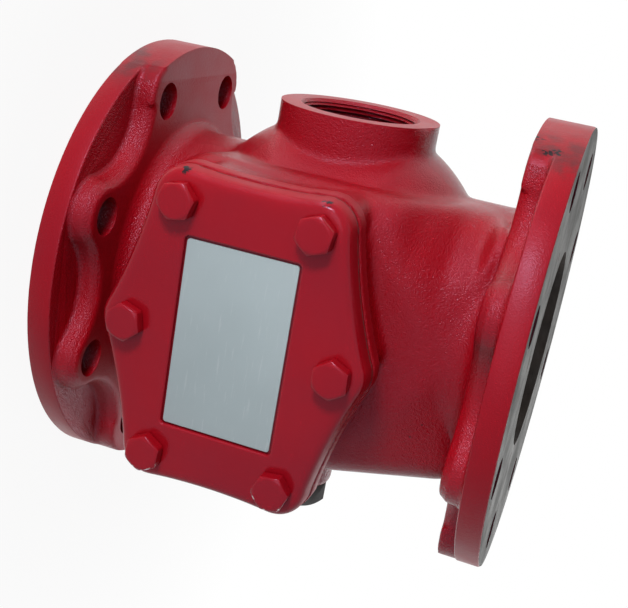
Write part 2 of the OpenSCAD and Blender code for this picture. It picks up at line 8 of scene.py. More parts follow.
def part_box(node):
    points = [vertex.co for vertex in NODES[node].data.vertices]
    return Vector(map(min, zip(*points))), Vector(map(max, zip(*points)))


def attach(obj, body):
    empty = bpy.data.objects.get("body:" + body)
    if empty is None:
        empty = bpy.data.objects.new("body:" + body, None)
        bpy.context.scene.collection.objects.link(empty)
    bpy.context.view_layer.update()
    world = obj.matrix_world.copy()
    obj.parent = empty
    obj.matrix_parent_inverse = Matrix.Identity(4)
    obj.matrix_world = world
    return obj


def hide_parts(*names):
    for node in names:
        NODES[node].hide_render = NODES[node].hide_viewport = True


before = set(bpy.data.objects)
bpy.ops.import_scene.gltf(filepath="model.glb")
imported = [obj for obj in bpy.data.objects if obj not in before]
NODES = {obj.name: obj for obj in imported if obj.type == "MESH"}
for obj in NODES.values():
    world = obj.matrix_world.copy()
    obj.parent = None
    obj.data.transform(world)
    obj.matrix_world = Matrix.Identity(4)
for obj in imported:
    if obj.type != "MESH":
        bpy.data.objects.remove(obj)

bl_info = {
    "name": "Sprinkler alarm valve",
    "version": (1, 0, 0),
    "blender": (4, 5, 0),
    "location": "3D View > Sidebar > Valve",
    "description": "Dresses the packed alarm valve: casting skin, threads, bolts, paint and studio",
    "category": "Object",
}

MM = 0.001


class ValvePaint(bpy.types.PropertyGroup):
    """Colours of the finishes."""

    red: bpy.props.FloatVectorProperty(
        name="Enamel", description="Colour of the red enamel", subtype="COLOR",
        size=3, default=(0.38, 0.003, 0.009), min=0, max=1)
    red_dark: bpy.props.FloatVectorProperty(
        name="Enamel, deep", description="Colour of the enamel where it lies thick", subtype="COLOR",
        size=3, default=(0.32, 0.003, 0.010), min=0, max=1)
    iron: bpy.props.FloatVectorProperty(
        name="Bare iron", description="Colour of the machined gasket faces", subtype="COLOR",
        size=3, default=(0.34, 0.34, 0.33), min=0, max=1)
    plate: bpy.props.FloatVectorProperty(
        name="Plate", description="Colour of the blank plate", subtype="COLOR",
        size=3, default=(0.42, 0.50, 0.53), min=0, max=1)
    bronze: bpy.props.FloatVectorProperty(
        name="Bronze", description="Colour of the seat and the bushes", subtype="COLOR",
        size=3, default=(0.56, 0.36, 0.16), min=0, max=1)


class ValveSkin(bpy.types.PropertyGroup):
    """Sizes of the skin laid over the castings."""

    voxel: bpy.props.FloatProperty(
        name="Grain", description="Cell size of the body's skin", unit="LENGTH",
        default=1.1 * MM, min=0.8 * MM)
    cover_voxel: bpy.props.FloatProperty(
        name="Cover grain", description="Cell size of the cover's skin", unit="LENGTH",
        default=0.9 * MM, min=0.5 * MM)
    rounding: bpy.props.IntProperty(
        name="Rounding", description="Smoothing passes over the flanges' edges", default=3, min=0)
    blending: bpy.props.IntProperty(
        name="Blending", description="Further passes that blend the necks, the chamber and the bosses",
        default=8, min=0)
    thread_pitch: bpy.props.FloatProperty(
        name="Drain thread", description="Pitch of the drain's pipe thread", unit="LENGTH",
        default=2.209 * MM, min=1 * MM)


class ValveStage(bpy.types.PropertyGroup):
    """Light and floor of the studio."""

    key: bpy.props.FloatProperty(
        name="Key light", description="Power of the small bright light", unit="POWER", default=5.2, min=0)
    fill: bpy.props.FloatProperty(
        name="Fill light", description="Power of the front light", unit="POWER", default=3.8, min=0)
    strip: bpy.props.FloatProperty(
        name="Strip light", description="Power of the low strip beside the drain", unit="POWER",
        default=0.5, min=0)
    sky: bpy.props.FloatProperty(
        name="Sky", description="Strength of the light from all round", default=0.18, min=0)


class ValveSettings(bpy.types.PropertyGroup):
    """All settings of the valve."""

    paint: bpy.props.PointerProperty(
        name="Paint", description="Colours of the finishes", type=ValvePaint)
    skin: bpy.props.PointerProperty(
        name="Skin", description="Sizes of the skin laid over the castings", type=ValveSkin)
    stage: bpy.props.PointerProperty(
        name="Studio", description="Light and floor of the studio", type=ValveStage)


def settings():
    return bpy.context.scene.valve


# Meshes


def add_object(name, mesh):
    obj = bpy.data.objects.new(name, mesh)
    bpy.context.scene.collection.objects.link(obj)
    return obj


def add_mesh(name, points, faces):
    mesh = bpy.data.meshes.new(name)
    mesh.from_pydata([tuple(p) for p in points], [], [tuple(f) for f in faces])
    mesh.update()
    return add_object(name, mesh)


def points_of(mesh):
    co = np.empty(len(mesh.vertices) * 3, np.float32)
    mesh.vertices.foreach_get("co", co)
    return co.reshape(-1, 3).astype(float)


def put_points(mesh, co):
    mesh.vertices.foreach_set("co", co.astype(np.float32).ravel())
    mesh.update()


def face_vectors(mesh, name):
    """The centre or the normal of every face."""
    values = np.empty(len(mesh.polygons) * 3, np.float32)
    mesh.polygons.foreach_get(name, values)
    return values.reshape(-1, 3)


def bake(obj):
    """Turns the object's modifiers into its mesh."""
    graph = bpy.context.evaluated_depsgraph_get()
    mesh = bpy.data.meshes.new_from_object(obj.evaluated_get(graph))
    old = obj.data
    obj.modifiers.clear()
    obj.data = mesh
    bpy.data.meshes.remove(old)
    return obj


def join(obj, others):
    """Adds the meshes of the others to the object's own mesh, as separate shells."""
    parts = [obj, *others]
    points = []
    faces = []
    base = 0
    for part in parts:
        co = points_of(part.data)
        points.append(co)
        faces += [tuple(base + v for v in p.vertices) for p in part.data.polygons]
        base += len(co)
    mesh = bpy.data.meshes.new(obj.data.name)
    mesh.from_pydata(np.concatenate(points).tolist(), [], faces)
    mesh.update()
    obj.data = mesh
    for part in others:
        bpy.data.objects.remove(part)
    return obj


def weld(obj):
    """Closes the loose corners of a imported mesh."""
    mod = obj.modifiers.new("weld", "WELD")
    mod.merge_threshold = 1e-6


def node_copy(node, name):
    obj = add_object(name, NODES[node].data.copy())
    obj.data.materials.clear()
    weld(obj)
    return bake(obj)


def remesh(obj, size):
    mod = obj.modifiers.new("skin", "REMESH")
    mod.mode = "VOXEL"
    mod.voxel_size = size
    mod.adaptivity = 0
    return bake(obj)


def combine(obj, tool, operation):
    """Joins one closed mesh to another or cuts it out, and drops the tool."""
    mod = obj.modifiers.new("tool", "BOOLEAN")
    mod.operation = operation
    mod.solver = "MANIFOLD"
    mod.object = tool
    bake(obj)
    bpy.data.objects.remove(tool)
    return obj


def cut(obj, tool):
    return combine(obj, tool, "DIFFERENCE")


def relax(obj, passes, weight):
    """Laplacian smoothing; the weight of a point is how far it follows its neighbours."""
    mesh = obj.data
    edges = np.empty(len(mesh.edges) * 2, np.int64)
    mesh.edges.foreach_get("vertices", edges)
    a, b = edges.reshape(-1, 2).T
    count = len(mesh.vertices)
    ends = np.concatenate([a, b])
    others = np.concatenate([b, a])
    degree = np.maximum(np.bincount(ends, minlength=count), 1)[:, None]
    co = points_of(mesh)
    share = np.asarray(weight, float).reshape(-1, 1)
    for _ in range(passes):
        near = np.stack([np.bincount(ends, co[others, k], count) for k in range(3)], 1) / degree
        co += 0.5 * share * (near - co)
    put_points(mesh, co)


def finish_shading(obj, degrees=35):
    mesh = obj.data
    mesh.polygons.foreach_set("use_smooth", np.ones(len(mesh.polygons), bool))
    mesh.set_sharp_from_angle(angle=math.radians(degrees))
    mesh.update()


def smoothstep(x, low, high):
    t = np.clip((x - low) / (high - low), 0, 1)
    return t * t * (3 - 2 * t)


def axis_frame(axis, origin):
    """Matrix that lays a solid drawn up +Z along one of the named directions."""
    turns = {
        "-X": Matrix.Rotation(-math.pi / 2, 4, "Y"),
        "+X": Matrix.Rotation(math.pi / 2, 4, "Y"),
        "-Y": Matrix.Rotation(math.pi / 2, 4, "X"),
        "+Y": Matrix.Rotation(-math.pi / 2, 4, "X"),
    }
    return Matrix.Translation(Vector(origin)) @ turns[axis]


def ring(r, z, sides):
    """Points of a circle about the Z axis."""
    turns = [2 * math.pi * i / sides for i in range(sides)]
    return [(r * math.cos(t), r * math.sin(t), z) for t in turns]


def wall_faces(rows, n):
    """Quads between neighbouring rows of n points."""
    return [(k * n + i, k * n + (i + 1) % n, (k + 1) * n + (i + 1) % n, (k + 1) * n + i)
            for k in range(rows - 1) for i in range(n)]


def closed_faces(rows, n):
    """The same quads, with a cap on the first and on the last row."""
    last = (rows - 1) * n
    return wall_faces(rows, n) + [tuple(range(n))[::-1], tuple(range(last, last + n))]


def lathe(name, profile, sides=128, place=None):
    """Closed solid of revolution; the profile runs up the axis from its first to its last [r, z]."""
    points = [p for r, z in profile for p in ring(r, z, sides)]
    obj = add_mesh(name, points, closed_faces(len(profile), sides))
    if place is not None:
        obj.data.transform(place)
    return obj


def rod(name, r, low, high, place=None, sides=96):
    return lathe(name, [(r, low), (r, high)], sides, place)


def screw(name, crest_r, depth, pitch, low, high, taper, place, sides=96):
    """Closed solid with a pipe thread on it, flat at crest and root; its radius drifts with the taper."""
    per_turn = 8
    rows = int((high - low) / pitch * per_turn) + 1
    points = []
    for k in range(rows):
        z = low + (high - low) * k / (rows - 1)
        for i in range(sides):
            t = 2 * math.pi * i / sides
            phase = (z / pitch - i / sides) % 1.0
            wave = 1 - abs(2 * phase - 1)
            r = crest_r + depth * min(max(1.25 * wave - 0.125, 0), 1) + (z - high) * taper
            points.append((r * math.cos(t), r * math.sin(t), z))
    faces = wall_faces(rows, sides)
    base = len(points)
    last = base - sides
    points += [(0, 0, low), (0, 0, high)]
    for i in range(sides):
        j = (i + 1) % sides
        faces.append((base, j, i))
        faces.append((base + 1, last + i, last + j))
    obj = add_mesh(name, points, faces)
    obj.data.transform(place)
    return obj


def box_solid(name, low, high):
    (x0, y0, z0), (x1, y1, z1) = low, high
    points = [(x, y, z) for z in (z0, z1) for y in (y0, y1) for x in (x0, x1)]
    faces = [(0, 2, 3, 1), (4, 5, 7, 6), (0, 1, 5, 4), (2, 6, 7, 3), (0, 4, 6, 2), (1, 3, 7, 5)]
    return add_mesh(name, points, faces)


def rounded_outline(w, h, r, steps=8):
    """Corner points of a rounded rectangle, anticlockwise."""
    points = []
    for cx, cy, start in ((1, 1, 0), (-1, 1, 90), (-1, -1, 180), (1, -1, 270)):
        for k in range(steps + 1):
            t = math.radians(start + 90 * k / steps)
            points.append((cx * (w / 2 - r) + r * math.cos(t), cy * (h / 2 - r) + r * math.sin(t)))
    return points


def prism(name, layers, place):
    """Closed solid through a stack of outlines with the same number of points: [(outline, z), ...]."""
    points = [(x, y, z) for outline, z in layers for x, y in outline]
    obj = add_mesh(name, points, closed_faces(len(layers), len(layers[0][0])))
    obj.data.transform(place)
    return obj


def set_attribute(obj, name, values, domain="POINT"):
    layer = obj.data.attributes.new(name, "FLOAT", domain)
    layer.data.foreach_set("value", np.asarray(values, np.float32))


# Materials


class Shader:
    """A material under construction: nodes are added by type and fed through their sockets."""

    def __init__(self, name, **constants):
        self.material = bpy.data.materials.new(name)
        self.material.use_nodes = True
        self.tree = self.material.node_tree
        self.bsdf = next(n for n in self.tree.nodes if n.type == "BSDF_PRINCIPLED")
        self.place = self.add("ShaderNodeTexCoord").outputs["Object"]
        for socket, value in constants.items():
            self.set(socket.replace("_", " ").title().replace("Ior", "IOR"), value)

    def add(self, kind, **options):
        node = self.tree.nodes.new(kind)
        for key, value in options.items():
            setattr(node, key, value)
        return node

    def feed(self, socket, value):
        if isinstance(value, bpy.types.NodeSocket):
            self.tree.links.new(value, socket)
        elif hasattr(socket, "default_value"):
            if socket.type == "RGBA" and len(value) == 3:
                value = (*value, 1)
            socket.default_value = value

    def set(self, name, value):
        self.feed(self.bsdf.inputs[name], value)

    def noise(self, scale, detail=4, rough=0.5, stretch=None):
        node = self.add("ShaderNodeTexNoise")
        place = self.place
        if stretch:
            mapping = self.add("ShaderNodeMapping")
            mapping.inputs["Scale"].default_value = stretch
            self.feed(mapping.inputs["Vector"], place)
            place = mapping.outputs["Vector"]
        self.feed(node.inputs["Vector"], place)
        node.inputs["Scale"].default_value = scale
        node.inputs["Detail"].default_value = detail
        node.inputs["Roughness"].default_value = rough
        return node.outputs["Fac"]

    def cells(self, scale):
        node = self.add("ShaderNodeTexVoronoi")
        self.feed(node.inputs["Vector"], self.place)
        node.inputs["Scale"].default_value = scale
        return node.outputs["Distance"]

    def attribute(self, name):
        return self.add("ShaderNodeAttribute", attribute_name=name).outputs["Fac"]

    def pointiness(self):
        return self.add("ShaderNodeNewGeometry").outputs["Pointiness"]

    def span(self, value, low, high, to_low=0.0, to_high=1.0):
        """The value, led smoothly from the range low to high over to the range to_low to to_high."""
        node = self.add("ShaderNodeMapRange", interpolation_type="SMOOTHSTEP")
        sockets = ("Value", "From Min", "From Max", "To Min", "To Max")
        for socket, number in zip(sockets, (value, low, high, to_low, to_high)):
            self.feed(node.inputs[socket], number)
        return node.outputs["Result"]

    def math(self, operation, a, b):
        node = self.add("ShaderNodeMath", operation=operation)
        self.feed(node.inputs[0], a)
        self.feed(node.inputs[1], b)
        return node.outputs["Value"]

    def mix(self, fac, a, b):
        node = self.add("ShaderNodeMix", data_type="RGBA")
        self.feed(node.inputs[0], fac)
        self.feed(node.inputs[6], a)
        self.feed(node.inputs[7], b)
        return node.outputs[2]

    def bump(self, *layers):
        """Each layer is (height, strength, distance)."""
        normal = None
        for height, strength, distance in layers:
            node = self.add("ShaderNodeBump")
            self.feed(node.inputs["Height"], height)
            self.feed(node.inputs["Strength"], strength)
            self.feed(node.inputs["Distance"], distance)
            if normal is not None:
                self.feed(node.inputs["Normal"], normal)
            normal = node.outputs["Normal"]
        self.set("Normal", normal)


def enamel(name, chips=False, gloss=0.26):
    """Red enamel over cast iron: painted shade in the creases and deep in the holes, stained at marked spots,
    chipped on worn corners.
    """
    paint = settings().paint
    s = Shader(name, specular_ior_level=gloss, specular_tint=(1.0, 0.68, 1.0))
    broad = s.noise(14, 3)
    colour = s.mix(s.span(broad, 0.3, 0.7), tuple(paint.red_dark), tuple(paint.red))
    # Painted shade: concave creases, found by pointiness, are darkened towards (0.10, 0.001, 0.004).
    crease_shade = s.span(s.pointiness(), 0.50, 0.44)
    colour = s.mix(s.math("MULTIPLY", crease_shade, 0.7), colour, (0.10, 0.001, 0.004))
    # Painted shade: the attribute deep turns the enamel near-black towards the bottom of the bolt holes and
    # inside the drain thread.
    colour = s.mix(s.math("MULTIPLY", s.attribute("deep"), 0.88), colour, (0.022, 0.001, 0.002))
    dirt = s.noise(120, 4, 0.5)
    stain = s.math("MULTIPLY", s.span(s.attribute("stain"), 0.0, 0.8), s.span(dirt, 0.35, 0.65))
    colour = s.mix(s.math("MULTIPLY", stain, 0.7), colour, (0.085, 0.022, 0.022))
    specks = s.span(s.cells(75), 0.045, 0.025)
    specks = s.math("MULTIPLY", specks, s.span(s.noise(26, 2), 0.58, 0.62))
    chip = s.span(s.math("MULTIPLY", s.attribute("chip"), s.span(s.noise(420, 3, 0.6), 0.35, 0.6)), 0.25, 0.4)
    mark = s.math("MAXIMUM", chip, specks)
    colour = s.mix(mark, colour, (0.012, 0.010, 0.009))
    rough = s.span(s.noise(55, 5), 0.3, 0.7, 0.15, 0.22)
    rough = s.math("ADD", rough, s.math("MULTIPLY", s.attribute("matt"), 0.35))
    if chips:
        bare = s.math("MULTIPLY", s.attribute("wear"), s.span(s.noise(300, 4, 0.6), 0.50, 0.56))
        colour = s.mix(bare, colour, (0.50, 0.50, 0.48))
        s.set("Metallic", bare)
    s.set("Base Color", colour)
    s.set("Roughness", rough)
    pebble = s.attribute("pebble")
    grain = s.noise(1500, 1, 0.5)
    lumps = s.noise(650, 2, 0.5)
    s.bump((lumps, s.math("MULTIPLY", pebble, 0.35), 0.0008),
           (grain, s.math("MULTIPLY", pebble, 0.7), 0.0006))
    return s.material


def machined(name):
    """Turned grey iron with rings about the valve's axis, blotched by handling."""
    paint = settings().paint
    s = Shader(name, metallic=0.0, specular_ior_level=0.05)
    rings = s.add("ShaderNodeTexWave", wave_type="RINGS", rings_direction="Z")
    s.feed(rings.inputs["Vector"], s.place)
    rings.inputs["Scale"].default_value = 420
    rings.inputs["Distortion"].default_value = 0.6
    blotch = s.noise(38, 6, 0.6)
    light = tuple(paint.iron)
    dark = tuple(0.55 * c for c in light)
    colour = s.mix(s.span(blotch, 0.35, 0.68), light, dark)
    colour = s.mix(s.span(s.noise(130, 5), 0.62, 0.72), colour, (0.14, 0.10, 0.08))
    s.set("Base Color", colour)
    s.set("Roughness", s.span(blotch, 0.3, 0.7, 0.5, 0.68))
    s.bump((rings.outputs["Fac"], 0.25, 0.0002), (s.noise(600, 3), 0.15, 0.0003))
    return s.material


def raw_iron(name):
    """Dark unpainted cast iron inside the waterway."""
    s = Shader(name, metallic=0.15)
    blotch = s.noise(30, 6)
    colour = s.mix(s.span(blotch, 0.3, 0.7), (0.022, 0.019, 0.018), (0.055, 0.040, 0.032))
    s.set("Base Color", colour)
    s.set("Roughness", s.span(s.noise(90, 4), 0.3, 0.7, 0.5, 0.75))
    s.bump((s.noise(280, 5), 0.5, 0.0009))
    return s.material


def turned_metal(name, colour, metallic, rough, grain=500):
    s = Shader(name, metallic=metallic)
    blotch = s.noise(45, 5)
    dark = tuple(0.6 * c for c in colour)
    s.set("Base Color", s.mix(s.span(blotch, 0.32, 0.7), tuple(colour), dark))
    s.set("Roughness", s.span(blotch, 0.3, 0.7, rough, rough + 0.16))
    s.bump((s.noise(grain, 4), 0.18, 0.0003))
    return s.material


def rubber(name, colour):
    s = Shader(name, specular_ior_level=0.35)
    dust = s.noise(70, 5)
    s.set("Base Color", s.mix(s.span(dust, 0.4, 0.8), tuple(colour), tuple(2.2 * c + 0.01 for c in colour)))
    s.set("Roughness", s.span(dust, 0.3, 0.7, 0.55, 0.75))
    s.bump((s.noise(700, 3), 0.25, 0.0003))
    return s.material


# Places on the valve, in millimetres: the cover's bolts from its centre, and spots with their radius

COVER_BOLTS = [(-60.4, -32), (0, -49.9), (60.4, -32), (60.4, 32), (0, 49.9), (-60.4, 32)]
COVER_CHIPS = [((-72.5, -112, 71), 4.5), ((-72.5, -112, 136), 4.5)]
GREASE_STAINS = [((-104, -46, 5), 24), ((-109, -35, 2), 14), ((-105, -41, 220), 26), ((-101, -54, 226), 16)]
BLACK_DIRT = [((-106, -36, 207), 6), ((-104, -44, 215), 6.5)]

# Points round a bolt head, how far each head is turned, in degrees, and which heads are chipped

HEAD_SIDES = 96
BOLT_TURNS = [12, 41, 26, 8, 33, 20]
BOLT_WEAR = [0, 0, 1, 1, 0, 0]


def valve_sizes():
    """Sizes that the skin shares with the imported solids, in metres."""
    body_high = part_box("body")[1]
    gasket_low, gasket_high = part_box("cover_gasket")
    plate_low, plate_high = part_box("name_plate")
    return {
        "flange_r": body_high.x,
        "top": body_high.z,
        "flange_t": 23 * MM,
        "rim_t": 12 * MM,
        "bore_r": 51 * MM,
        "bolt_circle": 95.25 * MM,
        "drain_x": -99 * MM,
        "drain_z": 113 * MM,
        "drain_r": 41.2 * MM,
        "alarm_z": 58 * MM,
        "pad_y": gasket_high.y,
        "cover_y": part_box("cover")[0].y,
        "cover_z": (gasket_low.z + gasket_high.z) / 2,
        "plate_w": plate_high.x - plate_low.x,
        "plate_h": plate_high.z - plate_low.z,
    }


def bolt_ring(radius):
    """Centres of a flange's eight holes."""
    turns = [math.radians(45 * i + 22.5) for i in range(8)]
    return [(radius * math.cos(t), radius * math.sin(t)) for t in turns]


def spots(co, places):
    """1 at the centre of a marked place, fading to 0 at its radius."""
    shade = np.zeros(len(co))
    for centre, radius in places:
        away = np.linalg.norm(co - np.array(centre) * MM, axis=1)
        shade = np.maximum(shade, np.clip(1 - away / (radius * MM), 0, 1))
    return shade


def full_side(size, low, high, turn):
    """Filler over one full side of a flange: proud of the rim, with ends that run into the two bolt pads."""
    half = math.radians(22.5)
    proud = size["flange_r"] + 2 * MM
    hole_x, hole_y = size["bolt_circle"] * math.cos(half), size["bolt_circle"] * math.sin(half)
    arc = [(proud * math.cos(t), proud * math.sin(t)) for t in np.linspace(0, half, 16)]
    end = []
    for k in range(13):
        lean = half + math.radians(6 * k)
        r = 17.2 * MM + 1.85 * MM * (1 - float(smoothstep(np.float64(k), 0, 11)))
        end.append((hole_x + r * math.cos(lean), hole_y + r * math.sin(lean)))
    quarter = arc + end + [(hole_x, hole_y), (80 * MM, 20 * MM)]
    outline = [(x, -y) for x, y in quarter[:0:-1]] + quarter
    return prism("fill", [(outline, low), (outline, high)], Matrix.Rotation(turn, 4, "Z"))


def turning(name, r, low, high, sides=256):
    """Ring that turns everything beyond the radius off a flange."""
    outer = r + 20 * MM
    corners = ((r, low), (outer, low), (outer, high), (r, high))
    points = [p for ring_r, level in corners for p in ring(ring_r, level, sides)]
    faces = [tuple(v % len(points) for v in f) for f in wall_faces(len(corners) + 1, sides)]
    return add_mesh(name, points, faces)


def rim_disc(size, place):
    """The turned rim of a flange, with softly broken edges, its gasket face at z = 0."""
    r, t = size["flange_r"], size["rim_t"] + 0.12 * MM
    edge = 0.9 * MM
    profile = [(r - edge, 0), (r - 0.3 * MM, 0.25 * MM), (r, edge)]
    for k in range(5):
        a = math.radians(22.5 * k)
        profile.append((r - edge + edge * math.cos(a), t - edge + edge * math.sin(a)))
    return lathe("rim", profile, 256, place)


class VALVE_OT_casting(bpy.types.Operator):
    """Lays a cast skin with crisp machined cuts over the body"""

    bl_idname = "valve.casting"
    bl_label = "Body casting"

    def execute(self, context):
        size = valve_sizes()
        drain = axis_frame("-X", (0, 0, size["drain_z"]))
        alarm = axis_frame("+X", (0, 0, size["alarm_z"]))
        obj = node_copy("body", "casting")
        join(obj, self.fillers(size, drain, alarm))
        self.soften(obj, size["top"])
        self.round_corner(obj, size["top"])
        self.machine(obj, size)
        self.drill(obj, size, drain, alarm)
        self.marks(obj, size)
        finish_shading(obj)
        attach(obj, "valve")
        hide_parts("body")
        return {"FINISHED"}

    def fillers(self, size, drain, alarm):
        """Shells that close the holes and carry the skin past every face that is machined later."""
        r, top, thick = size["flange_r"] - 1 * MM, size["top"], size["flange_t"]
        shells = [rod("fill", r, -4 * MM, 3 * MM), rod("fill", r, top - 3 * MM, top + 4 * MM)]
        for turn in (0, math.pi):
            for low, high in ((-4 * MM, thick), (top - thick, top + 4 * MM)):
                shells.append(full_side(size, low, high, turn))
        pad = 22.8 * MM
        for x, y in bolt_ring(size["bolt_circle"]):
            place = Matrix.Translation((x, y, 0))
            shells.append(rod("fill", 11 * MM, -3 * MM, pad, place, 32))
            shells.append(rod("fill", 11 * MM, top - pad, top + 3 * MM, place, 32))
        shells.append(rod("fill", 31 * MM, 73.5 * MM, 98.9 * MM, drain))
        shells.append(rod("fill", size["drain_r"], 92 * MM, 103 * MM, drain))
        shells.append(rod("fill", 14 * MM, 72.5 * MM, 89.8 * MM, alarm))
        return shells

    def soften(self, obj, top):
        """Lays one skin over the shells and rounds its edges, most of all between the flanges."""
        skin = settings().skin
        share = 1
        remesh(obj, skin.voxel * (1))
        co = points_of(obj.data)
        seat = (np.hypot(co[:, 0], co[:, 1]) < 58 * MM) & (co[:, 2] < 80 * MM)
        pad = smoothstep(-co[:, 1], 88 * MM, 94 * MM)
        weight = np.where(seat, 0, 1 - 0.85 * pad)
        relax(obj, max(skin.rounding // share, 1), weight)
        level = points_of(obj.data)[:, 2]
        core = smoothstep(level, 24 * MM, 32 * MM)
        core = core * smoothstep(-level, -(top - 24 * MM), -(top - 32 * MM))
        relax(obj, max(skin.blending // share, 1), weight * core)

    def machine(self, obj, size):
        """Faces and turns both flanges, and faces the cover's pad and the drain."""
        r, top = size["flange_r"], size["top"]
        wide = 0.2
        cut(obj, join(box_solid("cut", (-wide, -wide, -0.05), (wide, wide, 0)),
                      [box_solid("cut", (-wide, -wide, top), (wide, wide, top + 0.05))]))
        under = size["rim_t"] - 1 * MM
        for turned_r, depth in ((r, 30 * MM), (r - 0.3 * MM, under)):
            cut(obj, join(turning("cut", turned_r, -10 * MM, depth),
                          [turning("cut", turned_r, top - depth, top + 10 * MM)]))
        upside_down = Matrix.Translation((0, 0, top)) @ Matrix.Rotation(math.pi, 4, "X")
        for place in (Matrix.Identity(4), upside_down):
            combine(obj, rim_disc(size, place), "UNION")
        pad, drain = size["pad_y"], size["drain_x"]
        cut(obj, box_solid("cut", (-0.09, pad - 0.03, 0.03), (0.09, pad, 0.18)))
        cut(obj, box_solid("cut", (drain - 0.02, -0.05, 0.06), (drain, 0.05, 0.17)))

    def drill(self, obj, size, drain, alarm):
        """Cuts the bolt holes, the waterway and the threads of both ports."""
        top = size["top"]
        holes = []
        for x, y in bolt_ring(size["bolt_circle"]):
            place = Matrix.Translation((x, y, 0))
            holes.append(rod("cut", 9.5 * MM, -5 * MM, 40 * MM, place, 48))
            holes.append(rod("cut", 9.75 * MM, top - 40 * MM, top + 5 * MM, place, 48))
        cut(obj, join(holes[0], holes[1:]))
        bore, seat_r, seat_z = size["bore_r"], 54.1 * MM, 48.5 * MM
        lower = [(bore, -5 * MM), (bore, seat_z), (seat_r, seat_z), (seat_r, 73 * MM)]
        upper = [(bore, 185 * MM), (bore, top + 5 * MM)]
        cut(obj, join(lathe("cut", lower), [lathe("cut", upper)]))
        taper = 1 / 32
        pitch = settings().skin.thread_pitch
        cut(obj, screw("cut", 28.4 * MM, 1.5 * MM, pitch, 72.6 * MM, 99.3 * MM, taper, drain))
        cut(obj, lathe("cut", [(28.2 * MM, 96.2 * MM), (32.0 * MM, 100 * MM)], 96, drain))
        cut(obj, screw("cut", 12.4 * MM, 1.1 * MM, 1.814 * MM, 72 * MM, 90.5 * MM, taper, alarm, 64))

    def round_corner(self, obj, top):
        """Draws the chamber's front corner on the drain's side in to a round neck below the outlet flange."""
        co = points_of(obj.data)
        radius = np.hypot(co[:, 0], co[:, 1])
        levels = np.array([top - 82 * MM, top - 64 * MM, top - 47 * MM, top - 33 * MM, top - 23 * MM])
        limit = np.interp(co[:, 2], levels, np.array([104, 83, 72, 70, 92]) * MM)
        soft = 5 * MM
        share = np.clip(0.5 + 0.5 * (limit - radius) / soft, 0, 1)
        drawn = limit + (radius - limit) * share - soft * share * (1 - share)
        near = smoothstep(-co[:, 0], -10 * MM, 12 * MM) * smoothstep(-co[:, 1], 0, 15 * MM)
        near = near * (radius > 62 * MM) * (co[:, 2] > levels[0]) * (co[:, 2] < levels[-1])
        near = near * smoothstep(co[:, 1], -91 * MM, -83 * MM)
        scale = 1 + near * (np.minimum(drawn, radius) / np.maximum(radius, MM) - 1)
        co[:, :2] *= scale[:, None]
        put_points(obj.data, co)
        relax(obj, 30, 0.9 * near)

    def marks(self, obj, size):
        """Which faces are bare, where the cast surface is rough, where grease has stained it, and where
        painted shade darkens the bolt holes and the drain thread.
        """
        mesh = obj.data
        co = points_of(mesh)
        top = size["top"]
        level = np.minimum(co[:, 2], top - co[:, 2])
        # Painted shade: deep rises from the mouth of each bolt hole and of the drain thread inwards.
        deep = np.zeros(len(co))
        for x, y in bolt_ring(size["bolt_circle"]):
            inner = np.hypot(co[:, 0] - x, co[:, 1] - y) < 10.1 * MM
            deep = np.where(inner, smoothstep(-level, -22.6 * MM, -19 * MM), deep)
        off_drain = np.hypot(co[:, 1], co[:, 2] - size["drain_z"])
        thread = (co[:, 0] < -60 * MM) & (off_drain < 31 * MM)
        drain = size["drain_x"]
        deep = np.where(thread, smoothstep(co[:, 0], drain + 1 * MM, drain + 9 * MM), deep)
        set_attribute(obj, "deep", deep)
        set_attribute(obj, "stain", spots(co, GREASE_STAINS))
        set_attribute(obj, "chip", spots(co, BLACK_DIRT))
        mesh.materials.clear()
        mesh.materials.append(enamel("red_enamel"))
        mesh.materials.append(machined("gasket_face"))
        mesh.materials.append(raw_iron("waterway"))
        middle = face_vectors(mesh, "center")
        normal = face_vectors(mesh, "normal")
        radius = np.hypot(middle[:, 0], middle[:, 1])
        along = np.abs(normal[:, 2])
        faced = (along > 0.98) & ((middle[:, 2] < 0.3 * MM) | (middle[:, 2] > top - 0.3 * MM))
        wet = radius < 51.2 * MM
        wet |= (np.abs(middle[:, 0]) < 60 * MM) & (radius < 56.5 * MM) & (middle[:, 1] > -90 * MM)
        level = np.minimum(middle[:, 2], top - middle[:, 2])
        flat = (along > 0.9) & (level > 21.5 * MM) & (level < 25 * MM)
        flat |= (middle[:, 1] < -86 * MM) & (np.abs(normal[:, 1]) < 0.6) & (level > 25 * MM)
        turned = (along < 0.5) & (level < 25 * MM) & (radius > size["flange_r"] - 0.6 * MM)
        turned |= middle[:, 0] < drain + 0.4 * MM
        set_attribute(obj, "pebble", np.where(turned, 0.3, np.where(flat, 0.5, 1)), "FACE")
        set_attribute(obj, "matt", np.where(turned, 0.5, np.where(flat, 0.8, 0)), "FACE")
        index = np.zeros(len(middle), np.int32)
        index[wet] = 2
        index[faced] = 1
        mesh.polygons.foreach_set("material_index", index)


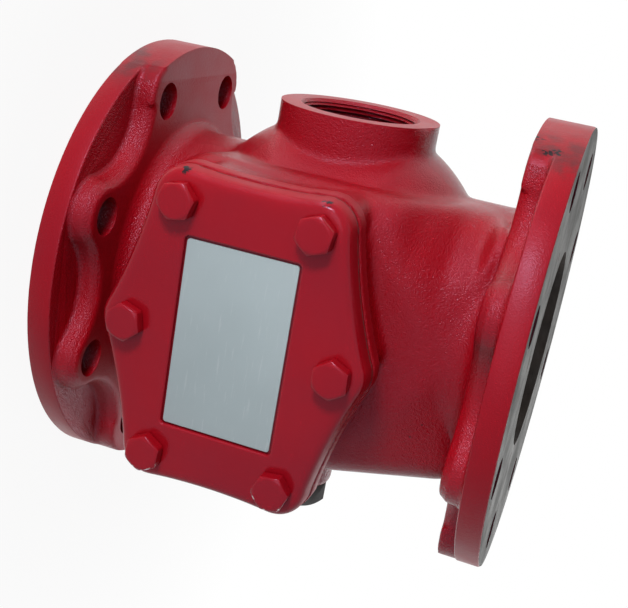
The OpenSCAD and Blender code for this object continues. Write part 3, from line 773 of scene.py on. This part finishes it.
class VALVE_OT_cover(bpy.types.Operator):
    """Lays a cast skin over the handhole cover and cuts the plate's pocket and the lugs' bores"""

    bl_idname = "valve.cover"
    bl_label = "Handhole cover"

    def execute(self, context):
        size = valve_sizes()
        obj = node_copy("cover", "handhole_cover")
        front = size["cover_y"]
        centre = Vector((0, front, size["cover_z"]))
        shells = []
        for x, h in COVER_BOLTS:
            place = axis_frame("+Y", centre + Vector((x, 0, h)) * MM)
            shells.append(rod("fill", 6 * MM, 0.5 * MM, 11.3 * MM, place, 32))
        w, h = size["plate_w"] / 2 + 2.2 * MM, size["plate_h"] / 2 + 2.2 * MM
        low, high = centre.z - h, centre.z + h
        shells.append(box_solid("fill", (-w, front + 0.02 * MM, low), (w, front + 4 * MM, high)))
        join(obj, shells)
        remesh(obj, settings().skin.cover_voxel * (1))
        weight = smoothstep(-points_of(obj.data)[:, 1], 106 * MM, 109 * MM)
        relax(obj, 26, weight)
        cut(obj, pocket_cutter(size, centre))
        pin = axis_frame("+X", (0, -64 * MM, 82 * MM))
        cut(obj, rod("cut", 7 * MM, -40 * MM, 40 * MM, pin, 64))
        co = points_of(obj.data)
        set_attribute(obj, "pebble", np.full(len(co), 0.12))
        set_attribute(obj, "chip", spots(co, COVER_CHIPS))
        across = np.abs(face_vectors(obj.data, "normal")[:, 1])
        set_attribute(obj, "matt", 0.9 * (across < 0.4), "FACE")
        obj.data.materials.clear()
        obj.data.materials.append(enamel("cover_enamel"))
        finish_shading(obj)
        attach(obj, "valve")
        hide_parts("cover")
        return {"FINISHED"}


def pocket_cutter(size, centre):
    """The shallow pocket of the plate, with a flared mouth."""
    layers = []
    for grow, depth in ((0, -1.8), (0.05, -0.9), (0.35, -0.35), (1.2, 0.1), (1.6, 2)):
        w, h = size["plate_w"] + (2 + 2 * grow) * MM, size["plate_h"] + (2 + 2 * grow) * MM
        layers.append((rounded_outline(w, h, (2 + grow) * MM), depth * MM))
    return prism("cut", layers, axis_frame("-Y", centre))


class VALVE_OT_plate(bpy.types.Operator):
    """Puts the blank plate into the cover's pocket"""

    bl_idname = "valve.plate"
    bl_label = "Blank plate"

    def execute(self, context):
        size = valve_sizes()
        centre = Vector((0, size["cover_y"], size["cover_z"]))
        layers = []
        for grow, depth in ((0, -1.78), (0, -1.15), (-0.12, -1.03), (-0.3, -1.0)):
            w, h = size["plate_w"] + 2 * grow * MM, size["plate_h"] + 2 * grow * MM
            layers.append((rounded_outline(w, h, (1.5 + grow) * MM), depth * MM))
        obj = prism("plate", layers, axis_frame("-Y", centre))
        s = Shader("plate_metal", metallic=0.25)
        colour = tuple(settings().paint.plate)
        soft = s.noise(9, 4)
        tint = s.mix(s.span(soft, 0.3, 0.7), colour, tuple(0.86 * c for c in colour))
        scratch = s.span(s.noise(60, 5, 0.6, (1, 1, 14)), 0.60, 0.66)
        tint = s.mix(s.math("MULTIPLY", scratch, 0.2), tint, (0.62, 0.66, 0.68))
        s.set("Base Color", tint)
        s.set("Roughness", s.span(soft, 0.3, 0.7, 0.32, 0.46))
        s.bump((s.noise(800, 2, 0.5, (1, 1, 8)), 0.08, 0.0002))
        obj.data.materials.append(s.material)
        finish_shading(obj, 30)
        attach(obj, "valve")
        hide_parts("name_plate")
        return {"FINISHED"}


def hex_head(place, turn, across_flats, height):
    """Points and faces of a hexagon head on z = 0, with a washer face below and a chamfered crown."""
    apothem = across_flats / 2
    crown = 0.92 * apothem
    slope = math.tan(math.radians(30))

    def reach(t):
        total = sum(max(math.cos(t - math.radians(60 * k)), 0) ** 30 for k in range(6))
        return apothem / total ** (1 / 30)

    rows = []
    for share, z in ((None, 0), (None, 0.09), (0.975, 0.09), (1, 0.12), (1, 0.5), (1, None), (0.985, None),
                     (0.95, None), (0.88, None), (0.8, None), (0.6, None), (0.3, None)):
        row = []
        for i in range(HEAD_SIDES):
            t = 2 * math.pi * i / HEAD_SIDES
            r = 0.9 * apothem if share is None else share * reach(t)
            level = z * height if z is not None else height - max(r - crown, 0) * slope
            if share == 1 and z is None:
                level -= 0.02 * height
            angle = t + math.radians(turn)
            row.append(place @ Vector((r * math.cos(angle), r * math.sin(angle), level)))
        rows.append(row)
    return [p for row in rows for p in row], closed_faces(len(rows), HEAD_SIDES)


class VALVE_OT_cover_bolts(bpy.types.Operator):
    """Makes the six painted hexagon bolts of the cover"""

    bl_idname = "valve.cover_bolts"
    bl_label = "Cover bolts"

    def execute(self, context):
        size = valve_sizes()
        points = []
        faces = []
        wear = []
        for (x, h), turn, chipped in zip(COVER_BOLTS, BOLT_TURNS, BOLT_WEAR):
            place = axis_frame("-Y", (x * MM, size["cover_y"], size["cover_z"] + h * MM))
            head, head_faces = hex_head(place, turn, 16 * MM, 6.6 * MM)
            base = len(points)
            points += head
            faces += [tuple(base + v for v in f) for f in head_faces]
            edge = range(4 * HEAD_SIDES, 8 * HEAD_SIDES)
            wear += [chipped * (i in edge and p.x > x * MM + 3 * MM) for i, p in enumerate(head)]
            shank = rod("shank", 4.9 * MM, -28 * MM, 0.5 * MM, place, 48)
            base = len(points)
            points += [v.co.copy() for v in shank.data.vertices]
            faces += [tuple(base + v for v in p.vertices) for p in shank.data.polygons]
            wear += [0] * len(shank.data.vertices)
            bpy.data.objects.remove(shank)
        obj = add_mesh("cover_bolt_set", points, faces)
        set_attribute(obj, "wear", wear)
        set_attribute(obj, "pebble", np.full(len(points), 0.1))
        obj.data.materials.append(enamel("bolt_enamel", chips=True))
        finish_shading(obj, 32)
        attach(obj, "valve")
        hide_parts("cover_bolts")
        return {"FINISHED"}


class VALVE_OT_fittings(bpy.types.Operator):
    """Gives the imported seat, clapper, hinge, gaskets and plugs their finishes"""

    bl_idname = "valve.fittings"
    bl_label = "Inner fittings and plugs"

    def execute(self, context):
        bronze = tuple(settings().paint.bronze)
        looks = {
            turned_metal("turned_bronze", bronze, 0.9, 0.26): ["seat_ring", "lug_bushes", "clapper_bushes"],
            turned_metal("cast_bronze", tuple(0.85 * c for c in bronze), 0.8, 0.42, 250): ["clapper"],
            turned_metal("stainless", (0.55, 0.55, 0.54), 1.0, 0.24): [
                "facing_plate", "facing_bolt", "facing_washer", "facing_nut", "hinge_pin",
                "pin_retaining_rings", "clapper_spring"],
            turned_metal("black_iron", (0.035, 0.034, 0.034), 0.5, 0.42, 300): [
                "side_port_plug", "supply_gauge_plug", "system_gauge_plug"],
            rubber("facing_rubber", (0.014, 0.014, 0.015)): ["clapper_facing"],
            rubber("sheet_gasket", (0.020, 0.019, 0.018)): ["seat_gasket", "cover_gasket"],
        }
        for material, names in looks.items():
            for name in names:
                node = NODES[name]
                node.data.materials.clear()
                node.data.materials.append(material)
                weld(node)
                bevel = node.modifiers.new("edges", "BEVEL")
                bevel.width = (0.15 if name == "clapper_spring" else 0.35) * MM
                bevel.segments = 2
                bevel.limit_method = "ANGLE"
                bevel.angle_limit = math.radians(40)
        self.paint_seam(NODES["cover_gasket"])
        return {"FINISHED"}

    def paint_seam(self, gasket):
        """The gasket's outer edge was painted over with the valve."""
        mesh = gasket.data
        mesh.materials.append(enamel("seam_enamel", gloss=0.04))
        low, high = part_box("cover_gasket")
        middle = (low + high) / 2
        for face in mesh.polygons:
            away = Vector((face.center.x - middle.x, 0, face.center.z - middle.z))
            if abs(face.normal.y) < 0.5 and face.normal.dot(away) > 0:
                face.material_index = 1


class VALVE_OT_stage(bpy.types.Operator):
    """Sets up the camera, the soft lights and the pale floor"""

    bl_idname = "valve.stage"
    bl_label = "Studio"

    def execute(self, context):
        scene = context.scene
        scene.view_settings.view_transform = "Standard"
        right = Vector((-0.16691551, 0.31629308, 0.93386182))
        down = Vector((0.93772454, -0.24172978, 0.24947826))
        ahead = Vector((0.30465046, 0.91734694, -0.25624733))
        eye = Vector((-0.17070, -0.53892, 0.25698))
        camera = bpy.data.cameras.new("camera")
        camera.sensor_width = 36
        camera.lens = 1081.15 * 36 / 628
        camera.clip_start = 0.01
        obj = add_object("camera", camera)
        columns = (right, -down, -ahead)
        obj.matrix_world = Matrix([[*(c[i] for c in columns), eye[i]] for i in range(3)] + [[0, 0, 0, 1]])
        scene.camera = obj
        level = settings().stage
        self.light("key", (-0.8, -0.7, 0.14), (0, 0, 0.11), (0.2, 0.2), level.key)
        self.light("strip", (-0.40, -0.06, 0.036), (0, -0.02, 0.1), (0.8, 0.06), level.strip)
        self.light("front", (-0.45, -1.3, 0.08), (0, 0, 0.11), (0.9, 0.9), level.fill)
        self.light("back", (0.6, 0.9, 0.9), (0, 0, 0.11), (0.9, 0.9), 1.2 * level.fill)
        self.floor()
        self.sky(scene, level.sky)
        return {"FINISHED"}

    def light(self, name, place, target, size, power):
        lamp = bpy.data.lights.new(name, "AREA")
        lamp.shape = "RECTANGLE"
        lamp.size, lamp.size_y = size
        lamp.energy = power
        obj = add_object(name, lamp)
        obj.visible_camera = False
        obj.location = place
        obj.rotation_euler = (Vector(target) - Vector(place)).to_track_quat("-Z", "Y").to_euler()

    def seen(self, tree):
        """1 for the rays that show the background, straight on, in a reflection or through glass."""
        path = tree.nodes.new("ShaderNodeLightPath")
        total = path.outputs["Is Camera Ray"]
        for name in ("Is Glossy Ray", "Is Transmission Ray"):
            larger = tree.nodes.new("ShaderNodeMath")
            larger.operation = "MAXIMUM"
            tree.links.new(total, larger.inputs[0])
            tree.links.new(path.outputs[name], larger.inputs[1])
            total = larger.outputs[0]
        return total

    def floor(self):
        w = 6.0
        floor = add_mesh("floor", [(-w, -w, 0), (w, -w, 0), (w, w, 0), (-w, w, 0)], [(0, 1, 2, 3)])
        mat = bpy.data.materials.new("floor")
        mat.use_nodes = True
        tree = mat.node_tree
        tree.nodes.clear()
        out = tree.nodes.new("ShaderNodeOutputMaterial")
        place = tree.nodes.new("ShaderNodeTexCoord")
        away = tree.nodes.new("ShaderNodeVectorMath")
        away.operation = "LENGTH"
        tree.links.new(place.outputs["Object"], away.inputs[0])
        white = tree.nodes.new("ShaderNodeMapRange")
        tree.links.new(away.outputs["Value"], white.inputs["Value"])
        for socket, value in (("From Min", 0.15), ("From Max", 0.45), ("To Min", 0.92), ("To Max", 1.0)):
            white.inputs[socket].default_value = value
        share = tree.nodes.new("ShaderNodeMath")
        share.operation = "MULTIPLY"
        tree.links.new(white.outputs["Result"], share.inputs[1])
        tree.links.new(self.seen(tree), share.inputs[0])
        matt = tree.nodes.new("ShaderNodeBsdfDiffuse")
        matt.inputs["Color"].default_value = (0.9, 0.9, 0.9, 1)
        glow = tree.nodes.new("ShaderNodeEmission")
        mix = tree.nodes.new("ShaderNodeMixShader")
        tree.links.new(share.outputs[0], mix.inputs[0])
        tree.links.new(matt.outputs[0], mix.inputs[1])
        tree.links.new(glow.outputs[0], mix.inputs[2])
        tree.links.new(mix.outputs[0], out.inputs["Surface"])
        floor.data.materials.append(mat)

    def sky(self, scene, strength):
        world = bpy.data.worlds.new("studio")
        scene.world = world
        world.use_nodes = True
        tree = world.node_tree
        back = next(n for n in tree.nodes if n.type == "BACKGROUND")
        back.inputs["Color"].default_value = (1, 1, 1, 1)
        level = tree.nodes.new("ShaderNodeMapRange")
        tree.links.new(self.seen(tree), level.inputs["Value"])
        level.inputs["To Min"].default_value = strength
        level.inputs["To Max"].default_value = 1.0
        tree.links.new(level.outputs["Result"], back.inputs["Strength"])


class VALVE_PT_panel(bpy.types.Panel):
    """Settings and steps of the valve"""

    bl_label = "Alarm valve"
    bl_idname = "VALVE_PT_panel"
    bl_space_type = "VIEW_3D"
    bl_region_type = "UI"
    bl_category = "Valve"

    def draw(self, context):
        group = context.scene.valve
        for part in (group.paint, group.skin, group.stage):
            box = self.layout.box()
            for key in part.__annotations__:
                box.prop(part, key)
        for step in STEPS:
            self.layout.operator(step.bl_idname)


STEPS = (VALVE_OT_casting, VALVE_OT_cover, VALVE_OT_plate, VALVE_OT_cover_bolts, VALVE_OT_fittings,
         VALVE_OT_stage)
CLASSES = (ValvePaint, ValveSkin, ValveStage, ValveSettings, *STEPS, VALVE_PT_panel)


def register():
    for cls in CLASSES:
        bpy.utils.register_class(cls)
    bpy.types.Scene.valve = bpy.props.PointerProperty(type=ValveSettings)


def unregister():
    del bpy.types.Scene.valve
    for cls in reversed(CLASSES):
        bpy.utils.unregister_class(cls)


def main():
    register()
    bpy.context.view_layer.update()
    for step in STEPS:
        group, name = step.bl_idname.split(".")
        getattr(getattr(bpy.ops, group), name)()


if __name__ == "__main__":
    main()
